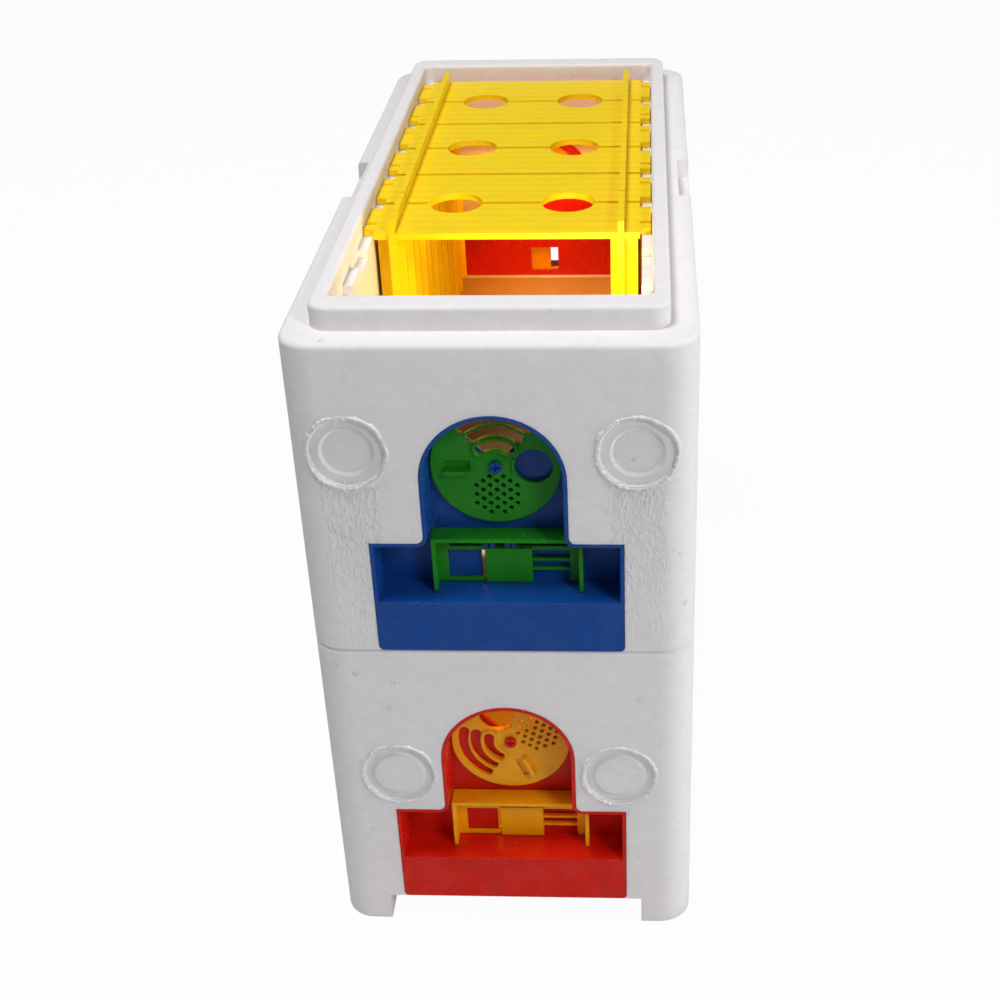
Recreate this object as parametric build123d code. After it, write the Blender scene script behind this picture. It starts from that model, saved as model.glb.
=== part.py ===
from build123d import *
import math
import os

# Mating nuc box: two stacked foam bodies, each with a floor, a moulded entrance insert in the
# front and rear walls, and a row of small comb frames hung from lugs.
# Millimetres, +Z up, front towards -Y, origin at the bottom centre of the four feet.

# Foam bodies
BOX_WIDTH = 152.0
BOX_LENGTH = 339.0
BODY_HEIGHT = 133.7
SEAM_GAP = 0.3
CORNER_RADIUS = 13.0
EDGE_RADIUS = 2.0
LIP_HEIGHT = 9.2
LIP_CORNER_RADIUS = 7.5
LIP_EDGE_RADIUS = 1.5
INNER_CORNER_RADIUS = 2.5
LEDGE_SIDE = 10.4
LEDGE_END = 11.7
LIP_SIDE = 6.5
LIP_END = 11.5
FLOOR_TOP = 21.0
STACK_CLEARANCE = 0.4
FOOT_HEIGHT = 13.4
FOOT_WIDTH = 21.0
FOOT_LENGTH = 34.0
FOOT_EDGE_RADIUS = 2.5
GRIP_LENGTH = 45.0
GRIP_DEPTH = 5.0
GRIP_HEIGHT = 8.5
MARK_OUTER_RADIUS = 14.7
MARK_INNER_RADIUS = 10.2
MARK_DEPTH = 1.0
MARK_CENTRE_DEPTH = 2.0
MARK_BURR_WIDTH = 0.9
MARK_BURR_HEIGHT = 0.7
UPPER_MARK_INSET = 22.4
UPPER_MARK_Z = 89.5
LOWER_MARK_INSET = 30.2
LOWER_MARK_Z = 69.4
CUT_OVERRUN = 1.0

# Comb frames and the seats that carry them
FRAME_PITCH = 35.5
FRAME_GAP = 0.7
BAR_GAP = 2.2
EMPTY_PLACE_COUNT = 2
REAR_SPACE = 7.2
SEAT_WIDTH = 4.1
SEAT_GAP = 0.2
TOOTH_LENGTH = 17.5
TOOTH_HEIGHT = 3.6
BAR_DROP = 6.2
BAR_THICKNESS = 2.7
BAR_SIDE_CLEARANCE = 0.8
LUG_LENGTH = 24.0
LUG_END_CLEARANCE = 0.4
LUG_GROOVE_WIDTH = 2.4
LUG_GROOVE_DEPTH = 1.2
LUG_GROOVE_OFFSET = 5.5
LUG_KEY_LENGTH = 15.0
LUG_KEY_HEIGHT = 3.0
LUG_KEY_WIDTH = 2.4
RAIL_INSET = 8.4
RAIL_THICKNESS = 2.6
RAIL_RISE = 5.0
RIB_SPREAD = 22.0
RIB_THICKNESS = 1.6
RIB_INWARD = 3.1
RIB_OUTWARD = 5.5
FRAME_FLOOR_SPACE = 8.0
FEED_HOLE_RADIUS = 11.3
FEED_HOLE_X = 23.7

# Entrance inserts
INSERT_CLEARANCE = 0.15
INSERT_HALF_WIDTH = 48.45
INSERT_BASE_TOP = 50.0
INSERT_WALL = 1.5
INSERT_CORNER_RADIUS = 2.0
ARCH_RADIUS = 27.5
ARCH_CENTRE_Z = 77.6
ARCH_FILLET = 3.0
LANDING_TOP = 22.6
LANDING_THICKNESS = 1.6
NICHE_DEPTH = 16.0
PANEL_THICKNESS = 1.6
NICHE_DRAFT = 2.5
APRON_THICKNESS = 2.0
APRON_DEPTH = 11.0
BEE_OPENING_WIDTH = 15.2
BEE_OPENING_HEIGHT = 14.0
BEE_OPENING_SILL = 0.5
PORT_INNER_RADIUS = 6.4
PORT_OUTER_RADIUS = 22.0
PORT_HALF_ANGLE = 44.0

# Entrance disc and its pivot
DISC_RADIUS = 24.8
DISC_THICKNESS = 1.8
DISC_CENTRE_Z = 76.2
DISC_RUNNING_GAP = 0.3
INNER_SLOT_RADIUS = 9.2
MIDDLE_SLOT_RADIUS = 14.9
OUTER_SLOT_RADIUS = 19.9
SLOT_WIDTH = 4.2
SLOT_HALF_ANGLE = 37.0
RIDGE_WIDTH = 1.2
RIDGE_HEIGHT = 0.9
SHOULDER_HALF_ANGLE = 46.0
TAIL_HALF_ANGLE = 24.0
ROUND_HOLE_RADIUS = 7.3
ROUND_HOLE_OFFSET = 14.4
VENT_RADIUS = 0.98
VENT_SIDES = 8
VENT_ROWS = (2, 3, 4, 3, 4, 3, 4, 3, 2)
VENT_COLUMN_PITCH = 5.2
VENT_ROW_PITCH = 1.97
VENT_FIRST_ROW = 4.6
TAB_LENGTH = 11.0
TAB_THICKNESS = 2.0
TAB_HEIGHT = 2.4
TAB_OFFSET = 14.7
TAB_DROP = 2.1
TAB_RECESS_LENGTH = 9.6
TAB_RECESS_HEIGHT = 3.4
TAB_RECESS_DEPTH = 0.9
PIN_RADIUS = 1.7
PIN_CLEARANCE = 0.15
PIN_HEAD_RADIUS = 2.45
PIN_HEAD_HEIGHT = 1.4
PIN_TAIL = 1.0
PIN_RECESS_WIDTH = 0.7
PIN_RECESS_LENGTH = 3.2
PIN_RECESS_DEPTH = 0.8

# Sliding gate
GATE_ZONE_PITCH = 16.6
GATE_HALF_LENGTH = 29.2
GATE_FRONT_DEPTH = 7.0
GATE_WALL = 1.6
GATE_GAP = 0.3
GATE_DOOR_WIDTH = 18.4
GATE_DOOR_RAISE = 0.8
GATE_DOOR_TOP = 39.4
GATE_WINDOW_WIDTH = 14.6
GATE_WINDOW_TOP = 38.2
GATE_SILL = 1.4
GATE_BAR_HEIGHT = 1.3
GATE_BARS = 2
GATE_SLOT_HEIGHT = 2.0
GATE_STOP_CLEARANCE = 0.2
PEG_Z = 41.0
PEG_PAIR_X = 4.2
PRONG_OFFSET = 1.35
PRONG_RADIUS = 0.75
PRONG_HEAD_RADIUS = 1.22
PRONG_HEAD_HEIGHT = 0.9
PRONG_SIDES = 8

# What each entrance shows at rest: storey, rear wall or not, disc turn in degrees, gate shift
GATE_REST_SHIFT = 3.3
GATE_AJAR_SHIFT = 6.0
ENTRANCES = {
    "upper_front": (1, False, 0.0, GATE_REST_SHIFT),
    "upper_rear": (1, True, -90.0, GATE_AJAR_SHIFT),
    "lower_front": (0, False, 112.0, GATE_REST_SHIFT),
    "lower_rear": (0, True, 0.0, GATE_REST_SHIFT),
}

# Levels and widths that follow from the sizes above, measured in one body from its underside
STACK_PITCH = BODY_HEIGHT + SEAM_GAP
RIM_TOP = BODY_HEIGHT + LIP_HEIGHT
BAR_TOP = RIM_TOP - BAR_DROP
BAR_BOTTOM = BAR_TOP - BAR_THICKNESS
TOOTH_TOP = BAR_BOTTOM - SEAT_GAP
SEAT_TOP = TOOTH_TOP - TOOTH_HEIGHT
END_WALL = LEDGE_END + LIP_END
INNER_LENGTH = BOX_LENGTH - 2 * END_WALL
REBATE_HALF = BOX_WIDTH / 2 - LEDGE_SIDE - LIP_SIDE
CAVITY_HALF = REBATE_HALF - SEAT_WIDTH
RAIL_OFFSET = CAVITY_HALF - RAIL_INSET
FRAME_PLACES = int((INNER_LENGTH - REAR_SPACE) // FRAME_PITCH)
FRAMES_FITTED = FRAME_PLACES - EMPTY_PLACE_COUNT
FRAME_BOTTOM = FLOOR_TOP + FRAME_FLOOR_SPACE
FRAME_DEPTH = FRAME_PITCH - FRAME_GAP
BAR_DEPTH = FRAME_PITCH - BAR_GAP
FIRST_FRAME_REAR = BOX_LENGTH / 2 - END_WALL - REAR_SPACE
PANEL_BACK = NICHE_DEPTH + PANEL_THICKNESS
LANDING_UNDER = LANDING_TOP - LANDING_THICKNESS
NICHE_RISE = NICHE_DEPTH * math.tan(math.radians(NICHE_DRAFT))
LANDING_REAR = LANDING_TOP + NICHE_RISE
DISC_BACK = NICHE_DEPTH - DISC_RUNNING_GAP
DISC_FRONT = DISC_BACK - DISC_THICKNESS
GATE_BACK = NICHE_DEPTH - GATE_GAP
GATE_PLATE_FRONT = GATE_BACK - GATE_WALL
GATE_BOTTOM = LANDING_REAR + GATE_GAP
GATE_ROOF_TOP = INSERT_BASE_TOP - INSERT_WALL - NICHE_RISE - GATE_GAP


def block(x0, x1, y0, y1, z0, z1):
    """Rectangular solid between two corners."""
    centre = ((x0 + x1) / 2, (y0 + y1) / 2, (z0 + z1) / 2)
    return Pos(*centre) * Box(x1 - x0, y1 - y0, z1 - z0)


def upright(outline, y0, y1):
    """Solid of an XZ outline carried from depth y0 to depth y1."""
    return extrude(Plane.XZ.offset(-y1) * outline, amount=y1 - y0)


def round_bar(x, z, radius, y0, y1):
    """Round bar along Y between two depths."""
    return upright(Pos(x, z) * Circle(radius), y0, y1)


def frame_centre(place):
    """Y of the middle of a frame place, counted from the rear."""
    return FIRST_FRAME_REAR - (place + 0.5) * FRAME_PITCH


def storey_base(storey):
    """Height of the underside of a body above the floor."""
    return FOOT_HEIGHT + storey * STACK_PITCH


def at_entrance(shape, storey, rear):
    """Move a piece from insert coordinates to its wall; y = 0 is the outer face of that wall."""
    placed = Pos(0, -BOX_LENGTH / 2, storey_base(storey)) * shape
    return Rot(0, 0, 180) * placed if rear else placed


def insert_outline(grow):
    """Outline of an insert: an arch on a wide base, grown outwards by a distance."""
    base = Pos(0, INSERT_BASE_TOP / 2) * Rectangle(2 * INSERT_HALF_WIDTH, INSERT_BASE_TOP)
    stem_top = ARCH_CENTRE_Z
    stem = Pos(0, stem_top / 2) * Rectangle(2 * ARCH_RADIUS, stem_top)
    arch = Pos(0, ARCH_CENTRE_Z) * Circle(ARCH_RADIUS)
    outline = base + stem + arch
    shoulders = outline.vertices().filter_by_position(Axis.Y, INSERT_BASE_TOP, INSERT_BASE_TOP)
    outline = fillet(shoulders.sort_by(lambda v: abs(v.X))[:2], ARCH_FILLET)
    outline = fillet(outline.vertices().group_by(Axis.Y)[0], INSERT_CORNER_RADIUS)
    return outline if grow == 0 else offset(outline, grow, kind=Kind.INTERSECTION)


def foam_body(base):
    """Foam body with floor, lip, frame seats and the two insert openings; base has the feet."""
    body = extrude(RectangleRounded(BOX_WIDTH, BOX_LENGTH, CORNER_RADIUS), amount=BODY_HEIGHT)
    body = fillet(body.faces().sort_by(Axis.Z)[-1].edges(), EDGE_RADIUS)
    body += lip_rim()
    half = INNER_LENGTH / 2
    body -= block(-CAVITY_HALF, CAVITY_HALF, -half, half, FLOOR_TOP, RIM_TOP)
    body -= Pos(0, 0, SEAT_TOP) * extrude(rebate_plan(), amount=BODY_HEIGHT - SEAT_TOP)
    body += seat_teeth()
    body -= grip_notches()
    for cut in insert_pocket():
        placed = Pos(0, -BOX_LENGTH / 2, 0) * cut
        body -= [placed, Rot(0, 0, 180) * placed]
    inset, height = (LOWER_MARK_INSET, LOWER_MARK_Z) if base else (UPPER_MARK_INSET, UPPER_MARK_Z)
    for side in (-1, 1):
        centre = Pos(side * (BOX_WIDTH / 2 - inset), height)
        for cut, burr in mould_marks(centre, 0 if base else MARK_CENTRE_DEPTH):
            body = body - cut + burr
    return body + feet() if base else body - lip_recess()


def rebate_plan():
    """Plan of the space inside the lip."""
    return RectangleRounded(2 * REBATE_HALF, INNER_LENGTH, INNER_CORNER_RADIUS)


def lip_rim():
    """Lip round the top of a body, with rounded edges inside and out."""
    lip = RectangleRounded(BOX_WIDTH - 2 * LEDGE_SIDE, BOX_LENGTH - 2 * LEDGE_END, LIP_CORNER_RADIUS)
    rim = extrude(lip - rebate_plan(), amount=LIP_HEIGHT)
    rim = fillet(rim.faces().sort_by(Axis.Z)[-1].edges(), LIP_EDGE_RADIUS)
    return Pos(0, 0, BODY_HEIGHT) * rim


def seat_teeth():
    """Teeth along both long walls that carry and space the frame lugs."""
    half = INNER_LENGTH / 2
    row_rear = FIRST_FRAME_REAR
    row_front = FIRST_FRAME_REAR - FRAME_PLACES * FRAME_PITCH
    spans = [(row_rear - TOOTH_LENGTH / 2, half), (-half, row_front + TOOTH_LENGTH / 2)]
    for joint in range(1, FRAME_PLACES):
        middle = row_rear - joint * FRAME_PITCH
        spans.append((middle - TOOTH_LENGTH / 2, middle + TOOTH_LENGTH / 2))
    teeth = []
    for y0, y1 in spans:
        teeth.append(block(CAVITY_HALF, REBATE_HALF, y0, y1, SEAT_TOP, TOOTH_TOP))
        teeth.append(block(-REBATE_HALF, -CAVITY_HALF, y0, y1, SEAT_TOP, TOOTH_TOP))
    return teeth


def grip_notches():
    """Finger notches under the ledge at the middle of both long sides."""
    low = BODY_HEIGHT - GRIP_HEIGHT
    edge = BOX_WIDTH / 2
    reach = GRIP_LENGTH / 2
    right = block(edge - GRIP_DEPTH, edge + CUT_OVERRUN, -reach, reach, low, BODY_HEIGHT)
    return [right, Rot(0, 0, 180) * right]


def insert_pocket():
    """Opening in an end wall for an insert: through the wall above the landing, a pocket below."""
    outline = insert_outline(INSERT_CLEARANCE)
    above = Pos(0, LANDING_UNDER + ARCH_CENTRE_Z) * Rectangle(2 * BOX_WIDTH, 2 * ARCH_CENTRE_Z)
    through = upright(outline & above, -CUT_OVERRUN, END_WALL + CUT_OVERRUN)
    pocket = upright(outline, -CUT_OVERRUN, APRON_DEPTH + INSERT_CLEARANCE)
    return [through, pocket]


def body_skin(grow):
    """Upright block of a body's plan, grown outwards by a distance."""
    plan = RectangleRounded(BOX_WIDTH + 2 * grow, BOX_LENGTH + 2 * grow, CORNER_RADIUS + grow)
    return extrude(plan, amount=BODY_HEIGHT)


def mould_marks(centre, centre_depth):
    """Ring mark of the mould on both end walls: cuts that follow the rounded corners, and their burrs.

    The ring is a shallow step; its centre is cut deeper, or stays flush where its depth is 0.
    """
    outer = Circle(MARK_OUTER_RADIUS)
    inner = Circle(MARK_INNER_RADIUS)
    span = (-BOX_LENGTH / 2 - MARK_BURR_HEIGHT, -BOX_LENGTH / 2 + LEDGE_END)
    cut = upright(centre * (outer - inner), *span) - body_skin(-MARK_DEPTH)
    if centre_depth:
        cut += upright(centre * inner, *span) - body_skin(-centre_depth)
    burr_ring = Circle(MARK_OUTER_RADIUS + MARK_BURR_WIDTH) - outer
    burr = upright(centre * burr_ring, *span) & body_skin(MARK_BURR_HEIGHT)
    turn = Rot(0, 0, 180)
    return [(cut, burr), (turn * cut, turn * burr)]


def lip_recess():
    """Recess under a body that takes the lip of the body below."""
    width = BOX_WIDTH - 2 * (LEDGE_SIDE - STACK_CLEARANCE)
    length = BOX_LENGTH - 2 * (LEDGE_END - STACK_CLEARANCE)
    plan = RectangleRounded(width, length, LIP_CORNER_RADIUS + STACK_CLEARANCE)
    return extrude(plan, amount=LIP_HEIGHT + STACK_CLEARANCE - SEAM_GAP)


def feet():
    """Four corner feet that share the rounded corners of the body."""
    column = extrude(RectangleRounded(BOX_WIDTH, BOX_LENGTH, CORNER_RADIUS), amount=-FOOT_HEIGHT)
    x_gap = BOX_WIDTH / 2 - FOOT_WIDTH
    y_gap = BOX_LENGTH / 2 - FOOT_LENGTH
    column -= block(-x_gap, x_gap, -BOX_LENGTH, BOX_LENGTH, -FOOT_HEIGHT, 0)
    column -= block(-BOX_WIDTH, BOX_WIDTH, -y_gap, y_gap, -FOOT_HEIGHT, 0)
    return [fillet(foot.faces().sort_by(Axis.Z)[0].edges(), FOOT_EDGE_RADIUS) for foot in column.solids()]


def entrance_insert():
    """Moulded insert: rim, landing, apron and back panel with the port, the gate opening and pegs."""
    outer = insert_outline(0)
    above = Pos(0, LANDING_UNDER + ARCH_CENTRE_Z) * Rectangle(2 * BOX_WIDTH, 2 * ARCH_CENTRE_Z)
    below = Pos(0, LANDING_UNDER / 2) * Rectangle(2 * BOX_WIDTH, LANDING_UNDER)
    shell = upright(outer & above, 0, PANEL_BACK)
    niche_floor = Pos(0, LANDING_TOP + ARCH_CENTRE_Z) * Rectangle(2 * BOX_WIDTH, 2 * ARCH_CENTRE_Z)
    niche = insert_outline(-INSERT_WALL) & niche_floor
    shell -= extrude(Plane.XZ * niche, amount=-NICHE_DEPTH, taper=NICHE_DRAFT)
    apron = upright(outer & below, 0, APRON_DEPTH)
    hollow = INSERT_HALF_WIDTH - INSERT_WALL
    apron -= block(-hollow, hollow, APRON_THICKNESS, APRON_DEPTH, 0, LANDING_UNDER)
    insert = shell + apron
    sill = LANDING_REAR + BEE_OPENING_SILL
    opening = BEE_OPENING_WIDTH / 2
    panel = (NICHE_DEPTH - CUT_OVERRUN, PANEL_BACK)
    insert -= block(-opening, opening, *panel, sill, sill + BEE_OPENING_HEIGHT)
    insert -= Pos(0, 0, DISC_CENTRE_Z) * upright(entrance_port(), *panel)
    insert -= round_bar(0, DISC_CENTRE_Z, PIN_RADIUS, *panel)
    return insert + guide_pegs()


def ring_sector(inner, outer, half_angle):
    """Sector of a ring centred on twelve o'clock."""
    reach = 2 * outer
    left = (-reach * math.sin(math.radians(half_angle)), reach * math.cos(math.radians(half_angle)))
    wedge = make_face(Polyline((0, 0), left, (-left[0], left[1]), close=True))
    return (Circle(outer) - Circle(inner)) & wedge


def entrance_port():
    """Port in the panel behind the twelve o'clock part of the disc."""
    return ring_sector(PORT_INNER_RADIUS, PORT_OUTER_RADIUS, PORT_HALF_ANGLE)


def guide_pegs():
    """Two split pegs on the panel that carry the gate by its slot."""
    prongs = []
    head_back = GATE_PLATE_FRONT - GATE_GAP
    for pair in (-PEG_PAIR_X, PEG_PAIR_X):
        for prong in (-PRONG_OFFSET, PRONG_OFFSET):
            place = Pos(pair + prong, PEG_Z)
            shank = place * RegularPolygon(PRONG_RADIUS, PRONG_SIDES)
            head = place * RegularPolygon(PRONG_HEAD_RADIUS, PRONG_SIDES)
            prongs.append(upright(shank, head_back, NICHE_DEPTH))
            prongs.append(upright(head, head_back - PRONG_HEAD_HEIGHT, head_back))
    return prongs


def arc_slot(radius, width):
    """Arc slot with round ends, centred on twelve o'clock."""
    slot = ring_sector(radius - width / 2, radius + width / 2, SLOT_HALF_ANGLE)
    swing = math.radians(SLOT_HALF_ANGLE)
    for side in (-1, 1):
        end = Pos(side * radius * math.sin(swing), radius * math.cos(swing))
        slot += end * Circle(width / 2)
    return slot


def vent_holes():
    """Staggered rows of vent holes at six o'clock."""
    hole = RegularPolygon(VENT_RADIUS, VENT_SIDES)
    holes = []
    for row, count in enumerate(VENT_ROWS):
        z = -VENT_FIRST_ROW - row * VENT_ROW_PITCH
        for column in range(count):
            holes.append(Pos((column - (count - 1) / 2) * VENT_COLUMN_PITCH, z) * hole)
    return holes


def entrance_disc(turn):
    """Four-way entrance disc: slots, round hole, vents and a blank with its thumb tab."""
    slots = [arc_slot(r, SLOT_WIDTH) for r in (INNER_SLOT_RADIUS, MIDDLE_SLOT_RADIUS, OUTER_SLOT_RADIUS)]
    round_hole = Pos(ROUND_HOLE_OFFSET, 0) * Circle(ROUND_HOLE_RADIUS)
    face = Circle(DISC_RADIUS) - Circle(PIN_RADIUS + PIN_CLEARANCE) - slots - round_hole - vent_holes()
    disc = upright(face, DISC_FRONT, DISC_BACK)
    disc += upright(slot_ridge() - slots - round_hole, DISC_FRONT - RIDGE_HEIGHT, DISC_FRONT)
    bar_top = -TAB_DROP + TAB_THICKNESS / 2
    recess = Rectangle(TAB_RECESS_LENGTH, TAB_RECESS_HEIGHT)
    recess = Pos(-TAB_OFFSET, bar_top + TAB_RECESS_HEIGHT / 2) * recess
    disc -= upright(recess, DISC_FRONT, DISC_FRONT + TAB_RECESS_DEPTH)
    bar = Pos(-TAB_OFFSET, -TAB_DROP) * SlotOverall(TAB_LENGTH, TAB_THICKNESS)
    disc += upright(bar, DISC_FRONT - TAB_HEIGHT, DISC_FRONT)
    return Pos(0, 0, DISC_CENTRE_Z) * Rot(0, -turn, 0) * disc


def slot_ridge():
    """Raised ridge: a loop round the inner slot, shoulders under the middle one, a tail by the hole."""
    ridge = arc_slot(INNER_SLOT_RADIUS, SLOT_WIDTH + 2 * RIDGE_WIDTH)
    between = (INNER_SLOT_RADIUS + MIDDLE_SLOT_RADIUS) / 2
    ridge += ring_sector(between - RIDGE_WIDTH / 2, between + RIDGE_WIDTH / 2, SHOULDER_HALF_ANGLE)
    tail = ring_sector(ROUND_HOLE_RADIUS, ROUND_HOLE_RADIUS + RIDGE_WIDTH, TAIL_HALF_ANGLE)
    ridge += Pos(ROUND_HOLE_OFFSET, 0) * Rot(0, 0, 90) * tail
    return ridge - Circle(PIN_HEAD_RADIUS + PIN_CLEARANCE)


def pivot_pin():
    """Push-in pivot with a cross-recessed head; its shank sits in the panel."""
    head_back = DISC_FRONT - DISC_RUNNING_GAP
    head_front = head_back - PIN_HEAD_HEIGHT
    head = round_bar(0, DISC_CENTRE_Z, PIN_HEAD_RADIUS, head_front, head_back)
    shank = round_bar(0, DISC_CENTRE_Z, PIN_RADIUS, head_back, PANEL_BACK + PIN_TAIL)
    recess_end = head_front + PIN_RECESS_DEPTH
    long_half = PIN_RECESS_LENGTH / 2
    wide_half = PIN_RECESS_WIDTH / 2
    cross = block(-long_half, long_half, head_front, recess_end, -wide_half, wide_half)
    cross += block(-wide_half, wide_half, head_front, recess_end, -long_half, long_half)
    return head + shank - Pos(0, 0, DISC_CENTRE_Z) * cross


def sliding_gate(shift):
    """Gate carriage: roof and end posts round a plate with a window, a door and an open barred way."""
    end = GATE_HALF_LENGTH
    roof_under = GATE_ROOF_TOP - GATE_WALL
    gate = block(-end, end, GATE_FRONT_DEPTH, GATE_BACK, roof_under, GATE_ROOF_TOP)
    for side in (-1, 1):
        inner, outer = sorted((side * end, side * (end - GATE_WALL)))
        gate += block(inner, outer, GATE_FRONT_DEPTH, GATE_BACK, GATE_BOTTOM, roof_under)
    gate += block(-end, end, GATE_PLATE_FRONT, GATE_BACK, GATE_BOTTOM, roof_under)
    window_low = GATE_BOTTOM + GATE_SILL
    for side, low in ((-1, window_low), (1, GATE_BOTTOM)):
        x = side * GATE_ZONE_PITCH
        half = GATE_WINDOW_WIDTH / 2
        gate -= block(x - half, x + half, GATE_PLATE_FRONT, GATE_BACK, low, GATE_WINDOW_TOP)
    bar_step = (GATE_WINDOW_TOP - window_low) / (GATE_BARS + 1)
    x0 = GATE_ZONE_PITCH - GATE_WINDOW_WIDTH / 2
    for bar in range(1, GATE_BARS + 1):
        z = window_low + bar * bar_step
        gate += block(x0, x0 + GATE_WINDOW_WIDTH, GATE_PLATE_FRONT, GATE_BACK,
                      z - GATE_BAR_HEIGHT / 2, z + GATE_BAR_HEIGHT / 2)
    door = GATE_DOOR_WIDTH / 2
    door_front = GATE_PLATE_FRONT - GATE_DOOR_RAISE
    gate += block(-door, door, door_front, GATE_PLATE_FRONT, GATE_BOTTOM, GATE_DOOR_TOP)
    slot_half = PEG_PAIR_X + PRONG_OFFSET + PRONG_RADIUS + GATE_ZONE_PITCH + GATE_STOP_CLEARANCE
    gate -= block(-slot_half, slot_half, GATE_PLATE_FRONT, GATE_BACK,
                  PEG_Z - GATE_SLOT_HEIGHT / 2, PEG_Z + GATE_SLOT_HEIGHT / 2)
    return Pos(shift, 0, 0) * gate


def comb_frame(notch_side):
    """Comb frame, open below; its top bar has half holes on one long edge and rails at the side bars."""
    deep = FRAME_DEPTH / 2
    bar_half = CAVITY_HALF - BAR_SIDE_CLEARANCE
    rail_in = RAIL_OFFSET - RAIL_THICKNESS / 2
    rail_out = RAIL_OFFSET + RAIL_THICKNESS / 2
    frame = block(-bar_half, bar_half, -BAR_DEPTH / 2, BAR_DEPTH / 2, BAR_BOTTOM, BAR_TOP)
    for x in (-FEED_HOLE_X, FEED_HOLE_X):
        hole = Pos(x, notch_side * FRAME_PITCH / 2, BAR_BOTTOM) * Circle(FEED_HOLE_RADIUS)
        frame -= extrude(hole, amount=BAR_THICKNESS)
    side = block(rail_in, rail_out, -deep, deep, FRAME_BOTTOM, BAR_TOP + RAIL_RISE)
    for y in (-RIB_SPREAD / 2, RIB_SPREAD / 2 - RIB_THICKNESS):
        side += block(rail_in - RIB_INWARD, rail_out + RIB_OUTWARD, y, y + RIB_THICKNESS,
                      FRAME_BOTTOM, BAR_BOTTOM)
    side += frame_lug(bar_half, notch_side)
    return frame + side + mirror(side, Plane.YZ)


def frame_lug(root, notch_side):
    """Lug that lies on two seat teeth, with a key that hangs between them."""
    tip = REBATE_HALF - LUG_END_CLEARANCE
    half = LUG_LENGTH / 2
    lug = block(root, tip, -half, half, BAR_BOTTOM, BAR_TOP)
    y = -notch_side * LUG_GROOVE_OFFSET
    lug -= block(root, tip, y - LUG_GROOVE_WIDTH / 2, y + LUG_GROOVE_WIDTH / 2,
                 BAR_TOP - LUG_GROOVE_DEPTH, BAR_TOP)
    key_half = LUG_KEY_LENGTH / 2
    lug += block(tip - LUG_KEY_WIDTH, tip, -key_half, key_half, BAR_BOTTOM - LUG_KEY_HEIGHT, BAR_BOTTOM)
    return lug


def save(name, shape):
    """Write one piece as a node of its own."""
    export_step(shape, os.path.join("parts", name + ".step"))


def main():
    """Build every piece in its place and write it."""
    os.makedirs("parts", exist_ok=True)
    for storey, label in enumerate(("lower", "upper")):
        body = foam_body(base=storey == 0)
        save(label + "_foam_body", Pos(0, 0, storey_base(storey)) * body)
        for place in range(FRAMES_FITTED):
            notch_side = 1 if place % 2 else -1
            frame = Pos(0, frame_centre(place), storey_base(storey)) * comb_frame(notch_side)
            save(f"{label}_comb_frame_{place + 1}", frame)
    for name, (storey, rear, turn, shift) in ENTRANCES.items():
        save(name + "_entrance_insert", at_entrance(entrance_insert(), storey, rear))
        save(name + "_entrance_disc", at_entrance(entrance_disc(turn), storey, rear))
        save(name + "_pivot_pin", at_entrance(pivot_pin(), storey, rear))
        save(name + "_sliding_gate", at_entrance(sliding_gate(shift), storey, rear))


main()
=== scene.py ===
"""Looks of the mating nuc box: bead-foam bodies, yellow comb frames and moulded entrances.

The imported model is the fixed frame, and every extra piece is worked out with numpy from its boxes.
Metres, +Z up, front towards -Y.
"""

import logging
import math
from dataclasses import dataclass
from enum import Enum

import bpy
import numpy as np
from mathutils import Matrix, Vector

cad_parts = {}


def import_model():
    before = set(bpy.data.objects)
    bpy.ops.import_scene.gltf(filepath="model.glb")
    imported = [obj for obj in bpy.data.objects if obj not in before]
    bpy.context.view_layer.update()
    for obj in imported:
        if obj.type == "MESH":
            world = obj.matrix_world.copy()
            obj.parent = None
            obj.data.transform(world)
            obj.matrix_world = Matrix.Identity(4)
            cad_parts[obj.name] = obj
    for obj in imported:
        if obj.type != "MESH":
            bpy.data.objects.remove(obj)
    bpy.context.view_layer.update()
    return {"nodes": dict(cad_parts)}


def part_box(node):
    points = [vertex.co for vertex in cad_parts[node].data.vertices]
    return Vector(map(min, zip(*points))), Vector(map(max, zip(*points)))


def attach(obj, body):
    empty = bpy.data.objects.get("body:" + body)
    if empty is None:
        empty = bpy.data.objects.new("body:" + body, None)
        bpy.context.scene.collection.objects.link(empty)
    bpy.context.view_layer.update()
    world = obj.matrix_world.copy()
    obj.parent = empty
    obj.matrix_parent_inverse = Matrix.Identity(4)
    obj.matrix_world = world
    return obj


LOG = logging.getLogger("nuc_box")
MM = 0.001
Colour = tuple[float, float, float]
Point = tuple[float, float, float]
Span = tuple[float, float]
Socket = bpy.types.NodeSocket
WHITE: Colour = (1.0, 1.0, 1.0)
WARM: Colour = (1.0, 0.55, 0.06)
GOLDEN: Colour = (1.0, 0.78, 0.25)

# Sockets of a Mix node that carry colours
MIX_FACTOR = 0
MIX_FIRST = 6
MIX_SECOND = 7
MIX_RESULT = 2

# Rays that find the rounding of each softened edge
BEVEL_SAMPLES = 4

# Spans round its middle in which a noise is read
WIDE_SPREAD: Span = (0.2, 0.8)
MIDDLE_SPREAD: Span = (0.25, 0.75)
NARROW_SPREAD: Span = (0.3, 0.7)


class Storey(Enum):
    """The two bodies of the stack."""

    LOWER = "lower"
    UPPER = "upper"


class End(Enum):
    """The two end walls, with the sign of the direction in which each one faces along Y."""

    FRONT = -1
    REAR = 1


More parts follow.
